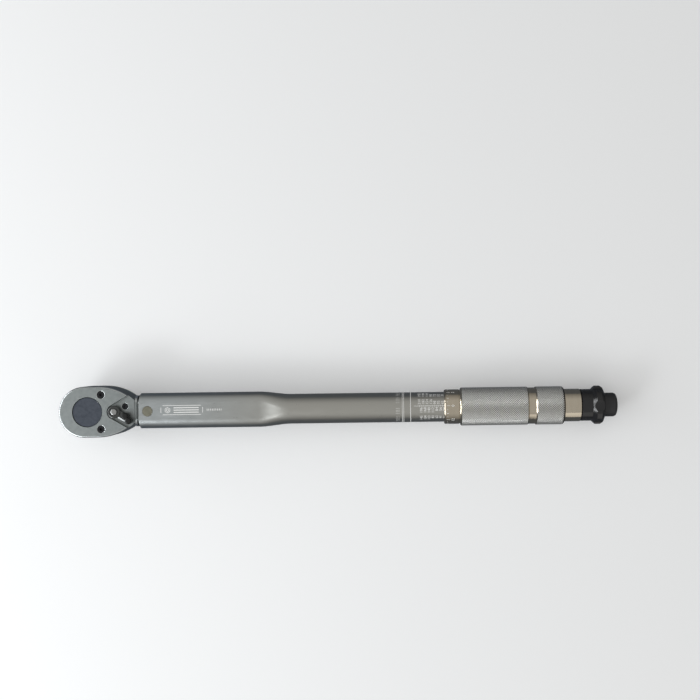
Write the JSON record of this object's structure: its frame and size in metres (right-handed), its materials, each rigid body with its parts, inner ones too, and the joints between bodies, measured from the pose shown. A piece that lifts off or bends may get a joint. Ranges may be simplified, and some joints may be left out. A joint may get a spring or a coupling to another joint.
{
  "type": "torque wrench",
  "caption": "Click-type torque wrench: reversible ratchet head with a half-inch square drive, flattened tube with a scale, knurled setting grip and a black lock knob.",
  "frame": {"origin": "centre of the flat face at the free end of the square drive", "axes": "+X along the tube from the head to the lock knob, +Z along the drive axis from the square's free end to the reversing lever, +Y across the head"},
  "size_m": [0.4646, 0.0424, 0.042],
  "materials": {
    "satin_chrome": "satin, pearl chrome plate",
    "polished_chrome": "polished chrome plate",
    "knurled_chrome": "satin chrome over diamond knurling",
    "black_phosphate": "matte black phosphate on steel",
    "black_oxide": "black oxide on steel",
    "dark_chrome": "polished black chrome",
    "pin_steel": "ground steel, slightly yellowed",
    "bare_steel": "machined and oiled",
    "spring_steel": "oil tempered spring wire",
    "ball_steel": "polished bearing ball",
    "brass": "machined",
    "rubber": "black nitrile",
    "black_plastic": "moulded, glossy",
    "cap_plastic": "moulded, fine matte texture"
  },
  "bodies": {
    "tube": {"tube": "satin_chrome", "pivot_pin": "pin_steel", "adjusting_nut": "brass", "nut_pins": "bare_steel", "o_ring": "rubber", "main_spring": "spring_steel", "plunger": "bare_steel"},
    "head": {"head_body": "satin_chrome", "cover_plate": "satin_chrome", "cover_screws": "black_oxide", "step_screw": "black_oxide"},
    "drive": {"drive_gear": "black_phosphate", "drive_ball_spring": "spring_steel"},
    "detent": {"drive_ball": "ball_steel"},
    "lever": {"reversing_lever": "dark_chrome", "lever_ball": "ball_steel", "lever_spring": "spring_steel"},
    "pawl": {"pawl": "bare_steel"},
    "trip": {"trip_block": "bare_steel"},
    "thrust": {"spring_seat": "bare_steel", "thrust_ball": "ball_steel"},
    "grip": {"grip_sleeve": "knurled_chrome", "end_bush": "polished_chrome", "adjusting_screw": "bare_steel", "cross_pin": "bare_steel"},
    "lock": {"lock_pin": "bare_steel"},
    "knob": {"lock_bolt": "bare_steel", "lock_knob": "black_plastic", "knob_cap": "cap_plastic"}
  },
  "joints": [
    {"name": "head_click", "type": "hinge", "parent": "tube", "child": "head", "pos_m": [0.0492, 0, 0.026], "axis": [0, 0, 1], "range_deg": [-2.2, 2.2], "stiffness_Nm_per_rad": 40},
    {"name": "trip_tilt", "type": "hinge", "parent": "head", "child": "trip", "pos_m": [0.1334, 0, 0.026], "axis": [0, 0, 1], "range_deg": [-20.8, 20.8]},
    {"name": "drive_spin", "type": "hinge", "parent": "head", "child": "drive", "pos_m": [0, 0, 0.026], "axis": [0, 0, 1], "continuous": true},
    {"name": "detent_press", "type": "slide", "parent": "drive", "child": "detent", "axis": [0, 1, 0], "range_m": [0, 0.0009], "stiffness_N_per_m": 1500, "deforming": ["drive_ball_spring"]},
    {"name": "lever_flip", "type": "hinge", "parent": "head", "child": "lever", "pos_m": [0.0224, 0, 0.026], "axis": [0, 0, 1], "range_deg": [0, 60]},
    {"name": "pawl_rock", "type": "hinge", "parent": "head", "child": "pawl", "pos_m": [0.0224, 0, 0.026], "axis": [0, 0, 1], "range_deg": [-10, 0]},
    {"name": "seat_slide", "type": "slide", "parent": "tube", "child": "thrust", "axis": [-1, 0, 0], "range_m": [0, 0.0208], "deforming": ["main_spring"]},
    {"name": "grip_turn", "type": "hinge", "parent": "thrust", "child": "grip", "pos_m": [0.35, 0, 0.026], "axis": [-1, 0, 0], "range_deg": [0, 4680]},
    {"name": "lock_slide", "type": "slide", "parent": "grip", "child": "lock", "axis": [1, 0, 0], "range_m": [0, 0.0025]},
    {"name": "knob_turn", "type": "hinge", "parent": "lock", "child": "knob", "pos_m": [0.42, 0, 0.026], "axis": [1, 0, 0], "range_deg": [0, 720]}
  ],
  "couplings": [
    {"joint": "trip_tilt", "follows": "head_click", "ratio": -9.42},
    {"joint": "pawl_rock", "follows": "lever_flip", "ratio": -0.16666},
    {"joint": "seat_slide", "follows": "grip_turn", "m_per_rad": 0.00025464},
    {"joint": "knob_turn", "follows": "lock_slide", "rad_per_m": 5026.5}
  ]
}
